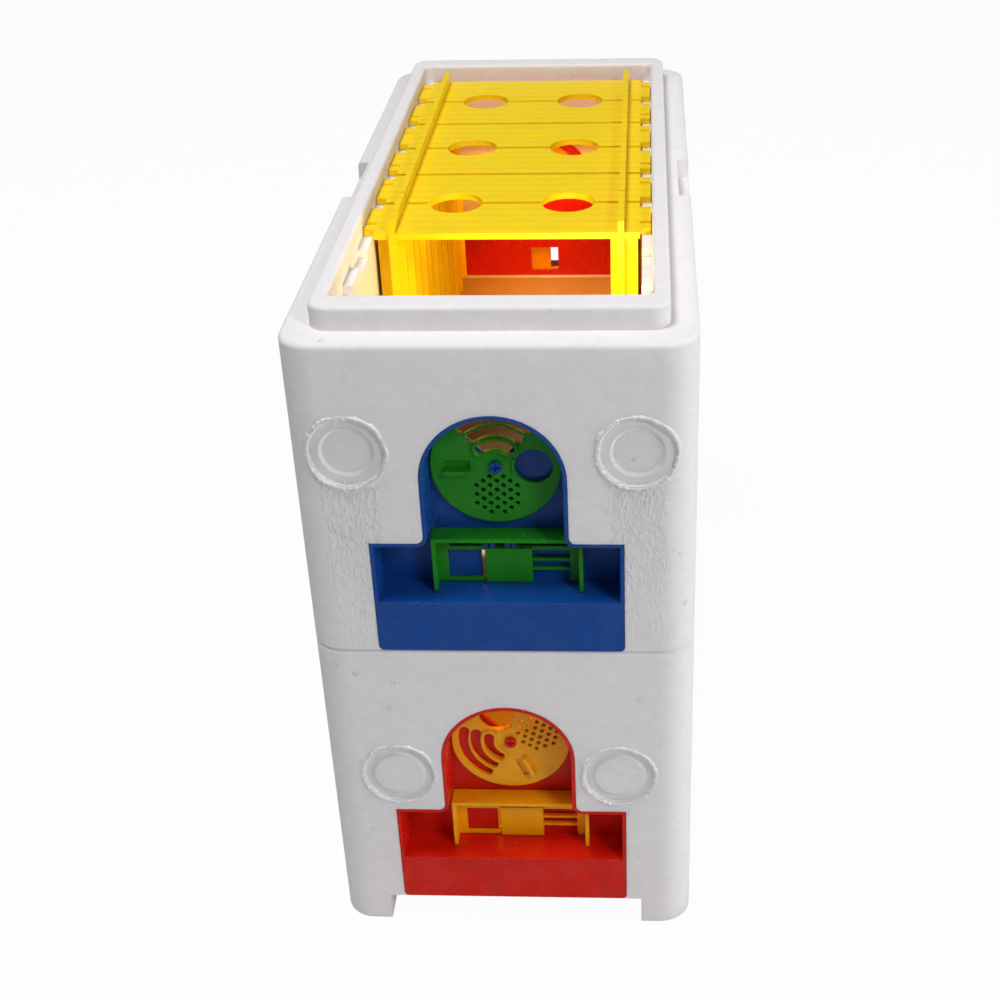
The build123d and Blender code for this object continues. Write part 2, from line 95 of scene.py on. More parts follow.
class NodeSheet:
    """Adds and links the nodes of one shader tree."""

    def __init__(self, tree: bpy.types.NodeTree) -> None:
        """Keep the tree that the nodes go into."""
        self.tree = tree

    def add(self, kind: str, inputs: dict[str, object] | None = None, **options: object) -> bpy.types.Node:
        """Add one node.

        Args:
            kind: Blender's name of the node type.
            inputs: value or source socket for each named input.
            options: properties of the node itself.

        Returns:
            The new node.
        """
        node = self.tree.nodes.new(kind)
        for name, value in options.items():
            setattr(node, name, value)
        self.feed_all(node, inputs or {})
        return node

    def feed(self, target: Socket, value: object) -> None:
        """Link a socket to the target, or set the target's own value."""
        if isinstance(value, bpy.types.NodeSocket):
            self.tree.links.new(value, target)
        else:
            target.default_value = value

    def feed_all(self, node: bpy.types.Node, inputs: dict[str, object]) -> None:
        """Link or set several named inputs of a node."""
        for name, value in inputs.items():
            self.feed(node.inputs[name], value)

    def calc(self, operation: str, first: object, second: object = 0.0) -> Socket:
        """Result of one Math node on two values or sockets."""
        node = self.tree.nodes.new("ShaderNodeMath")
        node.operation = operation
        self.feed(node.inputs[0], first)
        self.feed(node.inputs[1], second)
        return node.outputs[0]

    def ramp(self, value: Socket, span: Span, to: Span = (0.0, 1.0)) -> Socket:
        """Smooth step of a value from one span to another.

        Args:
            value: socket to read.
            span: value at the start and at the end of the step.
            to: result at the start and at the end of the step.

        Returns:
            The stepped value.
        """
        ends = {"Value": value, "From Min": span[0], "From Max": span[1], "To Min": to[0], "To Max": to[1]}
        node = self.add("ShaderNodeMapRange", ends, interpolation_type="SMOOTHSTEP")
        return node.outputs["Result"]

    def blend(self, factor: object, first: object, second: object) -> Socket:
        """Colour between two colours."""
        node = self.tree.nodes.new("ShaderNodeMix")
        node.data_type = "RGBA"
        self.feed(node.inputs[MIX_FACTOR], factor)
        self.feed(node.inputs[MIX_FIRST], first)
        self.feed(node.inputs[MIX_SECOND], second)
        return node.outputs[MIX_RESULT]

    def own_place(self) -> Socket:
        """Place of the shaded point in the object's own space."""
        return self.add("ShaderNodeTexCoord").outputs["Object"]

    def axes(self, place: Socket) -> tuple[Socket, ...]:
        """X, Y and Z of a place."""
        return tuple(self.add("ShaderNodeSeparateXYZ", {"Vector": place}).outputs)

    def noise(self, place: Socket, scale: object, detail: float, distortion: float = 0.0) -> Socket:
        """Noise at a place.

        Args:
            place: where the noise is read.
            scale: its waves for each metre.
            detail: number of finer layers.
            distortion: how far it is bent.

        Returns:
            The noise, about 0.5 in the middle.
        """
        inputs = {"Vector": place, "Scale": scale, "Detail": detail, "Distortion": distortion}
        return self.add("ShaderNodeTexNoise", inputs).outputs[0]

    def relief(self, height: Socket, depth: float, strength: float, edge: float) -> Socket:
        """Normal of a bumped surface with softened edges.

        Args:
            height: height of the bump.
            depth: length that a height of 1 stands for.
            strength: share of the bump that shows.
            edge: radius of the softened edges.

        Returns:
            The normal.
        """
        soft = self.add("ShaderNodeBevel", {"Radius": edge}, samples=BEVEL_SAMPLES)
        inputs = {"Height": height, "Distance": depth, "Strength": strength, "Normal": soft.outputs[0]}
        return self.add("ShaderNodeBump", inputs).outputs[0]


def rgba(colour: Colour, level: float = 1.0) -> tuple[float, float, float, float]:
    """Colour with alpha, made lighter or darker by a level."""
    return (*(min(1.0, part * level) for part in colour), 1.0)


def open_group(
    name: str, inputs: tuple[str, ...], outputs: tuple[str, ...]
) -> tuple[NodeSheet, bpy.types.Node, bpy.types.Node]:
    """Start a shader node group of plain number sockets.

    Args:
        name: name of the group.
        inputs: names of its inputs.
        outputs: names of its outputs.

    Returns:
        The sheet of its nodes, the node that gives its inputs and the node that takes its outputs.
    """
    tree = bpy.data.node_groups.new(name, "ShaderNodeTree")
    for label in inputs:
        tree.interface.new_socket(name=label, in_out="INPUT", socket_type="NodeSocketFloat")
    for label in outputs:
        tree.interface.new_socket(name=label, in_out="OUTPUT", socket_type="NodeSocketFloat")
    sheet = NodeSheet(tree)
    return sheet, sheet.add("NodeGroupInput"), sheet.add("NodeGroupOutput")


def bead_skin_group() -> bpy.types.NodeTree:
    """Skin of moulded bead foam: flattened cells with fine grooves between them.

    Cells are a Voronoi pattern in the object's own space. Height is fine grit less the groove, plus
    rough specks near the points of a far wider Voronoi pattern. Tone differs from cell to cell and
    drifts with a slow noise.

    Returns:
        A group with the inputs Bead Size, Groove and Grit and the outputs Height, Groove and Tone.
    """
    groove_reach = (0.0, 0.09)
    grit_scale = 2200.0
    speck_scale = 62.0
    speck_reach = (0.06, 0.1)
    speck_height = 5.0
    crumb_scale = 1300.0
    crumb_spread = (0.42, 0.6)
    cloud_scale = 45.0
    cell_share = 0.45
    cloud_share = 0.55
    inputs = ("Bead Size", "Groove", "Grit")
    sheet, given, result = open_group("bead_skin", inputs, ("Height", "Groove", "Tone"))
    place = sheet.own_place()
    scale = sheet.calc("DIVIDE", 1.0, given.outputs["Bead Size"])
    edge = sheet.add("ShaderNodeTexVoronoi", {"Vector": place, "Scale": scale}, feature="DISTANCE_TO_EDGE")
    cell = sheet.add("ShaderNodeTexVoronoi", {"Vector": place, "Scale": scale}, feature="F1")
    spot = sheet.add("ShaderNodeTexVoronoi", {"Vector": place, "Scale": speck_scale}, feature="F1")
    groove = sheet.ramp(edge.outputs["Distance"], groove_reach, (1.0, 0.0))
    carved = sheet.calc("MULTIPLY", groove, given.outputs["Groove"])
    grain = sheet.calc("MULTIPLY", sheet.noise(place, grit_scale, detail=2.0), given.outputs["Grit"])
    speck = sheet.ramp(spot.outputs["Distance"], speck_reach, (speck_height, 0.0))
    crumb = sheet.ramp(sheet.noise(place, crumb_scale, detail=1.0), crumb_spread)
    rough = sheet.calc("MULTIPLY", crumb, speck)
    height = sheet.calc("ADD", sheet.calc("SUBTRACT", grain, carved), rough)
    tint = sheet.add("ShaderNodeSeparateColor", {"Color": cell.outputs["Color"]}).outputs[0]
    cell_tone = sheet.calc("MULTIPLY", tint, cell_share)
    cloud_tone = sheet.calc("MULTIPLY", sheet.noise(place, cloud_scale, detail=3.0), cloud_share)
    tone = sheet.calc("ADD", cell_tone, cloud_tone)
    sheet.feed_all(result, {"Height": height, "Groove": groove, "Tone": tone})
    return sheet.tree


def rough_patch_group() -> bpy.types.NodeTree:
    """Torn skin on the end walls of a foam body, in two upright bands under its ring marks.

    The mask is a box in |X| and Z with wavering sides, kept to the end walls by |Y|, and it fades
    towards its foot. The tear is a noise stretched along Z and bent sideways, inside the mask.

    Returns:
        A group with the inputs Inner, Outer, Low, High and Wall and the outputs Mask and Tear.
    """
    wander_scale = 120.0
    wander_reach = 0.006
    soft = 0.0012
    fade = (0.1, 0.9)
    foot_share = 0.3
    stretch = (1.0, 1.0, 0.4)
    tear_scale = 760.0
    tear_bend = 0.7
    tear_spread = (0.44, 0.62)
    inputs = ("Inner", "Outer", "Low", "High", "Wall")
    sheet, given, result = open_group("rough_patch", inputs, ("Mask", "Tear"))
    place = sheet.own_place()
    x, y, z = sheet.axes(place)
    wander = sheet.calc("SUBTRACT", sheet.noise(place, wander_scale, detail=2.0), 0.5)
    across = sheet.calc("ADD", sheet.calc("ABSOLUTE", x), sheet.calc("MULTIPLY", wander, wander_reach))
    limits = (
        (across, given.outputs["Inner"], 1.0),
        (across, given.outputs["Outer"], -1.0),
        (z, given.outputs["Low"], 1.0),
        (z, given.outputs["High"], -1.0),
        (sheet.calc("ABSOLUTE", y), given.outputs["Wall"], 1.0),
    )
    rise = sheet.calc("SUBTRACT", z, given.outputs["Low"])
    span = sheet.calc("SUBTRACT", given.outputs["High"], given.outputs["Low"])
    mask = sheet.ramp(sheet.calc("DIVIDE", rise, span), fade, (foot_share, 1.0))
    for value, limit, sign in limits:
        inside = sheet.calc("MULTIPLY", sheet.calc("SUBTRACT", value, limit), sign)
        mask = sheet.calc("MULTIPLY", sheet.ramp(inside, (-soft, soft)), mask)
    long_grain = sheet.add("ShaderNodeMapping", {"Vector": place, "Scale": stretch}).outputs[0]
    tear = sheet.ramp(sheet.noise(long_grain, tear_scale, detail=2.0, distortion=tear_bend), tear_spread)
    sheet.feed_all(result, {"Mask": mask, "Tear": sheet.calc("MULTIPLY", tear, mask)})
    return sheet.tree


def bar_lines_group() -> bpy.types.NodeTree:
    """Fine moulded lines across Y at an even pitch.

    With t = (y - Start) / Pitch, the line is a smooth step of |fract(t) - 0.5| near 0.5.

    Returns:
        A group with the inputs Start and Pitch and the output Line.
    """
    line_reach = (0.28, 0.5)
    sheet, given, result = open_group("bar_lines", ("Start", "Pitch"), ("Line",))
    along = sheet.axes(sheet.own_place())[1]
    past = sheet.calc("SUBTRACT", along, given.outputs["Start"])
    turns = sheet.calc("DIVIDE", past, given.outputs["Pitch"])
    off = sheet.calc("ABSOLUTE", sheet.calc("SUBTRACT", sheet.calc("FRACT", turns), 0.5))
    sheet.feed_all(result, {"Line": sheet.ramp(off, line_reach)})
    return sheet.tree


def inner_painted_light_group() -> bpy.types.NodeTree:
    """Painted light inside a foam body: a warm painted glow that stands in for light through the yellow
    frames.

    The painted light is a box in |X|, |Y| and Z that fades upwards from the floor and is broken up by a
    slow noise. It is full under the combs and at the foot of the front wall, and has the share Front in the
    bay between them. Second Painted Light tells where its second colour goes: under the middle combs and
    at that foot, where it is painted shade in the upper body and painted glow in the lower one.

    Returns:
        A group with the inputs Half Width, Half Length, Floor and Front and the outputs Painted Light and
        Second Painted Light.
    """
    fade_height = (0.0, 0.09)
    wall_share = 0.06
    below_floor = 0.003
    soft = (0.0, 0.0005)
    cloud_scale = 30.0
    least_cloud = 0.94
    combs_start = (-0.085, -0.055)
    middle_end = (0.02, 0.085)
    foot_end = (-0.136, -0.128)
    foot_height = (0.0, 0.004)
    inputs = ("Half Width", "Half Length", "Floor", "Front")
    sheet, given, result = open_group("inner_painted_light", inputs, ("Painted Light", "Second Painted Light"))
    place = sheet.own_place()
    x, y, z = sheet.axes(place)
    rise = sheet.calc("SUBTRACT", z, given.outputs["Floor"])
    # Painted glow: full at the floor, fading to a small share up the walls.
    painted_light = sheet.ramp(rise, fade_height, (1.0, wall_share))
    limits = (
        sheet.calc("SUBTRACT", given.outputs["Half Width"], sheet.calc("ABSOLUTE", x)),
        sheet.calc("SUBTRACT", given.outputs["Half Length"], sheet.calc("ABSOLUTE", y)),
        sheet.calc("ADD", rise, below_floor),
    )
    for inside in limits:
        painted_light = sheet.calc("MULTIPLY", sheet.ramp(inside, soft), painted_light)
    cloud = sheet.noise(place, cloud_scale, detail=3.0)
    broken = sheet.calc("MULTIPLY", painted_light, sheet.ramp(cloud, NARROW_SPREAD, (least_cloud, 1.0)))
    # The glow is full under the combs and at the foot of the front wall; the second colour, painted shade
    # in the upper body, goes under the middle combs and at that foot.
    combs = sheet.ramp(y, combs_start)
    low = sheet.ramp(rise, foot_height, (1.0, 0.0))
    foot = sheet.calc("MULTIPLY", sheet.ramp(y, foot_end, (1.0, 0.0)), low)
    share = sheet.calc("MAXIMUM", sheet.calc("MAXIMUM", combs, foot), given.outputs["Front"])
    middle = sheet.calc("MULTIPLY", sheet.ramp(y, middle_end, (1.0, 0.0)), combs)
    second_painted_share = sheet.calc("MAXIMUM", middle, foot)
    sheet.feed_all(result, {"Painted Light": sheet.calc("MULTIPLY", broken, share), "Second Painted Light": second_painted_share})
    return sheet.tree


def moulding_grain_group() -> bpy.types.NodeTree:
    """Surface of a moulded plastic: fine grain, cloudy gloss and slow swirls of colour.

    Returns:
        A group with the input Grain Size and the outputs Height, Gloss and Swirl.
    """
    gloss_scale = 110.0
    swirl_scale = 38.0
    swirl_bend = 1.2
    sheet, given, result = open_group("moulding_grain", ("Grain Size",), ("Height", "Gloss", "Swirl"))
    place = sheet.own_place()
    scale = sheet.calc("DIVIDE", 1.0, given.outputs["Grain Size"])
    layers = {
        "Height": sheet.noise(place, scale, detail=2.0),
        "Gloss": sheet.noise(place, gloss_scale, detail=3.0),
        "Swirl": sheet.noise(place, swirl_scale, detail=2.0, distortion=swirl_bend),
    }
    sheet.feed_all(result, layers)
    return sheet.tree


def shared_group(name: str) -> bpy.types.NodeTree:
    """Node group of that name, built the first time that it is asked for."""
    makers = {
        "bead_skin": bead_skin_group,
        "rough_patch": rough_patch_group,
        "inner_painted_light": inner_painted_light_group,
        "moulding_grain": moulding_grain_group,
        "bar_lines": bar_lines_group,
    }
    return bpy.data.node_groups.get(name) or makers[name]()


def new_material(name: str) -> tuple[bpy.types.Material, NodeSheet, bpy.types.Node]:
    """Start a material.

    Args:
        name: name of the material.

    Returns:
        The material, the sheet of its nodes and its Principled shader.
    """
    material = bpy.data.materials.new(name)
    material.use_nodes = True
    return material, NodeSheet(material.node_tree), material.node_tree.nodes["Principled BSDF"]


@dataclass(frozen=True)
class FoamFinish:
    """White moulded bead foam with painted groove shade, painted light inside and torn end bands where it
    has them.
    """

    name: str
    slot: str = "white_foam"
    colour: Colour = (0.85, 0.828, 0.846)
    shade: Colour = (0.76, 0.738, 0.758)
    cell_shade: float = 0.3
    # Painted shade in the bead grooves.
    groove_shade: float = 0.08
    roughness: Span = (0.62, 0.78)
    shine: float = 0.3
    bead: float = 3.4 * MM
    groove: float = 0.2
    grit: float = 0.5
    relief: float = 0.16 * MM
    bump: float = 0.7
    edge: float = 0.7 * MM
    glow: Colour = (9.0 * MM, 9.0 * MM, 8.0 * MM)
    glow_share: float = 0.2
    # Painted light inside the body: a warm glow for light through the yellow frames, a second colour that
    # is dark painted shade unless set, and the bay's share of the glow.
    painted_light: Colour = (0.56, 0.34, 0.09)
    second_painted_light: Colour = (0.045, 0.03, 0.025)
    bay_painted_light: float = 0.4
    cavity: Span = (55.6 * MM, 148.4 * MM)
    floor_z: float | None = None
    torn_x: Span = (0.0, 0.0)
    torn_z: Span = (0.0, 0.0)
    wall_y: float | None = None
    tear_height: float = 4.0
    torn_depth: float = 1.6
    tear_light: float = 0.2

    def tear(self, sheet: NodeSheet, height: Socket, tone_and_painted_shade: Socket) -> tuple[Socket, Socket]:
        """Put the torn bands into the height and the dirt of the skin.

        Args:
            sheet: sheet of the material's nodes.
            height: height of the skin.
            tone_and_painted_shade: share of the shade colour, from cell tone and painted shade in the bead
                grooves.

        Returns:
            The new height and the new share of the shade colour.
        """
        limits = (*self.torn_x, *self.torn_z, self.wall_y)
        inputs = dict(zip(("Inner", "Outer", "Low", "High", "Wall"), limits))
        torn = sheet.add("ShaderNodeGroup", inputs, node_tree=shared_group("rough_patch"))
        raised = sheet.calc("MULTIPLY", torn.outputs["Tear"], self.tear_height)
        lowered = sheet.calc("MULTIPLY", torn.outputs["Mask"], self.torn_depth)
        lighter = sheet.calc("MULTIPLY", torn.outputs["Tear"], self.tear_light)
        height = sheet.calc("SUBTRACT", sheet.calc("ADD", height, raised), lowered)
        return height, sheet.calc("SUBTRACT", tone_and_painted_shade, lighter)

    def with_painted_light(self, sheet: NodeSheet, colour: Socket) -> Socket:
        """Colour of the foam with painted light on its inside: painted glow, and painted shade where set.
        """
        limits = (*self.cavity, self.floor_z, self.bay_painted_light)
        inputs = dict(zip(("Half Width", "Half Length", "Floor", "Front"), limits))
        inner = sheet.add("ShaderNodeGroup", inputs, node_tree=shared_group("inner_painted_light"))
        painted_light = sheet.blend(inner.outputs["Second Painted Light"], rgba(self.painted_light), rgba(self.second_painted_light))
        return sheet.blend(inner.outputs["Painted Light"], colour, painted_light)

    def material(self) -> bpy.types.Material:
        """Foam shader: cell tone, painted shade and painted glow in the colour; cells, grit and torn bands
        in the bump.
        """
        material, sheet, shader = new_material(self.name)
        cells = {"Bead Size": self.bead, "Groove": self.groove, "Grit": self.grit}
        skin = sheet.add("ShaderNodeGroup", cells, node_tree=shared_group("bead_skin"))
        tone = sheet.ramp(skin.outputs["Tone"], MIDDLE_SPREAD, (0.0, self.cell_shade))
        # Share of the shade colour: cell tone, and painted shade in the bead grooves.
        tone_and_painted_shade = sheet.calc("ADD", tone, sheet.calc("MULTIPLY", skin.outputs["Groove"], self.groove_shade))
        height = skin.outputs["Height"]
        if self.wall_y is not None:
            height, tone_and_painted_shade = self.tear(sheet, height, tone_and_painted_shade)
        colour = sheet.blend(tone_and_painted_shade, rgba(self.colour), rgba(self.shade))
        # Painted light inside: a warm glow, and painted shade in the upper body.
        if self.floor_z is not None:
            colour = self.with_painted_light(sheet, colour)
        look = {
            "Base Color": colour,
            "Roughness": sheet.ramp(skin.outputs["Tone"], WIDE_SPREAD, self.roughness),
            "Normal": sheet.relief(height, self.relief, self.bump, self.edge),
            "Specular IOR Level": self.shine,
            "Subsurface Weight": self.glow_share,
            "Subsurface Radius": self.glow,
            "Subsurface Scale": 1.0,
        }
        sheet.feed_all(shader, look)
        return material


@dataclass(frozen=True)
class PlasticFinish:
    """Moulded satin plastic of one colour, with fine lines across Y, darkened by painted shade, where it
    has them.
    """

    slot: str
    colour: Colour
    dark: float = 0.93
    light: float = 1.05
    gloss: Span = (0.22, 0.34)
    grain: float = 0.7 * MM
    relief: float = 0.02 * MM
    bump: float = 0.5
    edge: float = 0.5 * MM
    shine: float = 0.4
    glow: Colour | None = None
    glow_share: float = 0.15
    lines: Span | None = None
    line_depth: float = 3.0
    # Painted shade along the lines: a share of the colour at a darker level.
    line_share: float = 0.25
    line_painted_shade: float = 0.7

    def lined(self, sheet: NodeSheet, height: Socket, colour: Socket) -> tuple[Socket, Socket]:
        """Put the fine lines into the height, and painted shade along them into the colour of the plastic.

        Args:
            sheet: sheet of the material's nodes.
            height: height of the grain.
            colour: colour between the lines.

        Returns:
            The new height and the new colour.
        """
        inputs = dict(zip(("Start", "Pitch"), self.lines))
        line = sheet.add("ShaderNodeGroup", inputs, node_tree=shared_group("bar_lines")).outputs["Line"]
        height = sheet.calc("SUBTRACT", height, sheet.calc("MULTIPLY", line, self.line_depth))
        share = sheet.calc("MULTIPLY", line, self.line_share)
        return height, sheet.blend(share, colour, rgba(self.colour, self.line_painted_shade))

    def material(self) -> bpy.types.Material:
        """Plastic shader: swirled colour, cloudy gloss, fine grain and softened edges."""
        material, sheet, shader = new_material(self.slot)
        size = {"Grain Size": self.grain}
        grain = sheet.add("ShaderNodeGroup", size, node_tree=shared_group("moulding_grain"))
        swirl = sheet.ramp(grain.outputs["Swirl"], NARROW_SPREAD)
        colour = sheet.blend(swirl, rgba(self.colour, self.dark), rgba(self.colour, self.light))
        height = grain.outputs["Height"]
        if self.lines:
            height, colour = self.lined(sheet, height, colour)
        look = {
            "Base Color": colour,
            "Roughness": sheet.ramp(grain.outputs["Gloss"], NARROW_SPREAD, self.gloss),
            "Normal": sheet.relief(height, self.relief, self.bump, self.edge),
            "Specular IOR Level": self.shine,
        }
        if self.glow:
            look["Subsurface Weight"] = self.glow_share
            look["Subsurface Radius"] = self.glow
            look["Subsurface Scale"] = 1.0
        sheet.feed_all(shader, look)
        return material


def round_angles(steps: int) -> np.ndarray:
    """Angles of even steps round a circle, in radians."""
    return np.linspace(0.0, 2.0 * np.pi, steps, endpoint=False)


def point_rows(x: np.ndarray, y: np.ndarray, z: np.ndarray) -> np.ndarray:
    """Grids of x, y and z as rows of points."""
    return np.stack(np.broadcast_arrays(x, y, z), axis=-1).reshape(-1, 3)


def grid_faces(rows: int, columns: int, close_rows: bool = False) -> np.ndarray:
    """Quads of a grid of points whose columns close on themselves.

    Face (r, c) joins the points (r, c), (r, c+1), (r+1, c+1) and (r+1, c), with c taken modulo
    the columns and, where the rows close too, r modulo the rows.

    Args:
        rows: number of rows of points.
        columns: number of columns of points.
        close_rows: whether the last row joins the first one.

    Returns:
        An array of four point indices for each face.
    """
    last = rows if close_rows else rows - 1
    r, c = np.meshgrid(np.arange(last), np.arange(columns), indexing="ij")
    r_next = (r + 1) % rows
    c_next = (c + 1) % columns
    corners = (r * columns + c, r * columns + c_next, r_next * columns + c_next, r_next * columns + c)
    return np.stack([corner.ravel() for corner in corners], axis=1)


def mesh_piece(name: str, patches: list[tuple[np.ndarray, np.ndarray]]) -> bpy.types.Object:
    """One smooth mesh object made of point grids.

    Args:
        name: name of the piece.
        patches: points and faces of each grid.

    Returns:
        The object, at the origin, with its place in its mesh.
    """
    points: list[np.ndarray] = []
    faces: list[np.ndarray] = []
    count = 0
    for patch_points, patch_faces in patches:
        points.append(patch_points)
        faces.append(patch_faces + count)
        count += len(patch_points)
    mesh = bpy.data.meshes.new(name)
    mesh.from_pydata(np.vstack(points).tolist(), [], [face.tolist() for group in faces for face in group])
    mesh.polygons.foreach_set("use_smooth", np.ones(len(mesh.polygons), dtype=bool))
    mesh.update()
    piece = bpy.data.objects.new(name, mesh)
    bpy.context.scene.collection.objects.link(piece)
    return piece


def dress(node: bpy.types.Object, material: bpy.types.Material) -> None:
    """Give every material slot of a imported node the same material."""
    for slot in node.material_slots:
        slot.material = material
    LOG.info("%s: %s", node.name, material.name)


def place_piece(piece: bpy.types.Object, body: str, material: bpy.types.Material) -> None:
    """Finish a new piece: its material and the body that it rides on."""
    piece.data.materials.append(material)
    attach(piece, body)
    LOG.info("%s rides on %s", piece.name, body)


@dataclass(frozen=True)
class Step:
    """Rounded step in a ring mark: radius and depth below the wall at both of its sides."""

    radii: Span
    depths: Span


@dataclass
class FoamBody:
    """One foam body, with the rough burrs and rounded steps of the ring marks that its mould leaves."""

    storey: Storey
    finish: FoamFinish
    # Lighter finish of the rims and steps of the ring marks: painted highlight.
    burr_painted_highlight: FoamFinish
    mark_x: float
    mark_drop: float
    steps: tuple[Step, ...]
    mark_radius: float = 15.15 * MM
    mark_raise: float = 0.7 * MM
    corner_radius: float = 13.0 * MM
    rim_half_width: float = 1.0 * MM
    rim_height: float = 1.0 * MM
    rim_waver: float = 1.0 * MM
    cove_waver: float = 0.7 * MM
    swell_mean: float = 0.7
    swell_gain: float = 1.3
    swell_limits: Span = (0.35, 1.2)
    first_wave: int = 3
    slow_waves: int = 8
    wave_count: int = 48
    rim_steps: int = 420
    tube_steps: int = 10
    cove_rows: int = 8
    seed: int = 5

    @property
    def node(self) -> str:
        """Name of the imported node."""
        return f"{self.storey.value}_foam_body"

    @property
    def body(self) -> str:
        """Name of the body that it belongs to."""
        return f"{self.storey.value}_body"

    def waves(self, angles: np.ndarray, phase: np.ndarray) -> np.ndarray:
        """Sine waves of rising order round a mark, one column for each phase."""
        order = np.arange(self.first_wave, self.first_wave + len(phase))
        return np.sin(order * angles[:, None] + phase)

    def recede(self, x: np.ndarray, depth: np.ndarray | float) -> np.ndarray:
        """How far the rounded corner draws an end wall back at x, at a depth below its skin."""
        past = np.clip(np.abs(x) - (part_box(self.node)[1].x - self.corner_radius), 0.0, None)
        radius = self.corner_radius - depth
        return radius - np.sqrt(radius**2 - past**2)

    def rim(self, centre: Vector, facing: int, phase: np.ndarray) -> np.ndarray:
        """Points of one rough ring.

        A tube of varying size round a wavering circle. For the angle u round the ring and v round the tube,
        P = C + (R + w(u) + a t(u) cos v) (cos u, 0, sin u) + facing (b t(u) sin v - d(x)) (0, 1, 0),
        where w and t come from means of sine waves of u, a and b are the tube's half width and height,
        and d(x) = r - sqrt(r^2 - s^2) is how far the wall's rounded corner recedes, s past its start.

        Args:
            centre: middle of the ring, on the wall.
            facing: sign of the direction in which the wall faces along Y.
            phase: start of each sine wave.

        Returns:
            The points of the ring, one row for each step round it.
        """
        u = round_angles(self.rim_steps)[:, None]
        v = round_angles(self.tube_steps)[None, :]
        waves = self.waves(u[:, 0], phase)
        waver = self.rim_waver * waves[:, :self.slow_waves].mean(axis=1, keepdims=True)
        quick = waves[:, self.slow_waves:].mean(axis=1, keepdims=True)
        swell = np.clip(self.swell_mean + self.swell_gain * quick, *self.swell_limits)
        reach = self.mark_radius + waver + self.rim_half_width * swell * np.cos(v)
        x = centre.x + reach * np.cos(u)
        y = centre.y + facing * (self.rim_height * swell * np.sin(v) - self.recede(x, 0.0))
        z = centre.z + reach * np.sin(u)
        return point_rows(x, y, z)

    def cove(self, centre: Vector, step: Step, facing: int, phase: np.ndarray) -> np.ndarray:
        """Points of one rounded step in a ring mark.

        For the angle u round the mark and s from 0 to 1 across the step, with k = 3 s^2 - 2 s^3,
        r = r0 + (r1 - r0) s + w(u) sin(pi s) and e = d0 + (d1 - d0) k,
        P = C + (r cos u, 0, r sin u) - facing (e + d(x, e)) (0, 1, 0), where w is a mean of sine waves
        of u and d is how far the wall's rounded corner recedes at the depth e.

        Args:
            centre: middle of the mark, on the wall.
            step: radius and depth at both sides of the step.
            facing: sign of the direction in which the wall faces along Y.
            phase: start of each sine wave.

        Returns:
            The points of the step, one row for each line round it.
        """
        u = round_angles(self.rim_steps)[None, :]
        s = np.linspace(0.0, 1.0, self.cove_rows)[:, None]
        waver = self.cove_waver * self.waves(u[0], phase).mean(axis=1)[None, :]
        reach = step.radii[0] + (step.radii[1] - step.radii[0]) * s + waver * np.sin(np.pi * s)
        depth = step.depths[0] + (step.depths[1] - step.depths[0]) * (3.0 * s**2 - 2.0 * s**3)
        x = centre.x + reach * np.cos(u)
        y = centre.y - facing * (depth + self.recede(x, depth))
        z = centre.z + reach * np.sin(u)
        return point_rows(x, y, z)

    def mark_rims(self) -> bpy.types.Object:
        """Burrs and rounded steps of the four ring marks as one piece."""
        low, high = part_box(self.node)
        random = np.random.default_rng(self.seed)
        tube = grid_faces(self.rim_steps, self.tube_steps, close_rows=True)
        band = grid_faces(self.cove_rows, self.rim_steps)
        patches = []
        for end in End:
            wall = high.y - self.mark_raise if end is End.REAR else low.y + self.mark_raise
            front = end is End.FRONT
            for x in (-self.mark_x, self.mark_x):
                centre = Vector((x, wall, high.z - self.mark_drop))
                phase = random.uniform(0.0, 2.0 * np.pi, self.wave_count)
                patches.append((self.rim(centre, end.value, phase), tube if front else tube[:, ::-1]))
                for step in self.steps:
                    inward = step.radii[1] < step.radii[0]
                    points = self.cove(centre, step, end.value, phase)
                    patches.append((points, band if front is inward else band[:, ::-1]))
        return mesh_piece(f"{self.storey.value}_mark_rims", patches)

    def build(self, nodes: dict[str, bpy.types.Object]) -> None:
        """Dress the body and add the burrs of its marks."""
        dress(nodes[self.node], self.finish.material())
        place_piece(self.mark_rims(), self.body, self.burr_painted_highlight.material())


@dataclass
class CombFrames:
    """The comb frames of both bodies."""

    finish: PlasticFinish

    def build(self, nodes: dict[str, bpy.types.Object]) -> None:
        """Dress every comb frame."""
        material = self.finish.material()
        for name in sorted(nodes):
            if "comb_frame" in name:
                dress(nodes[name], material)


@dataclass(frozen=True)
class Arc:
    """Arc on the face of a disc: its centre, its radius and its angles in degrees from twelve o'clock."""

    centre: tuple[float, float]
    radius: float
    span: Span


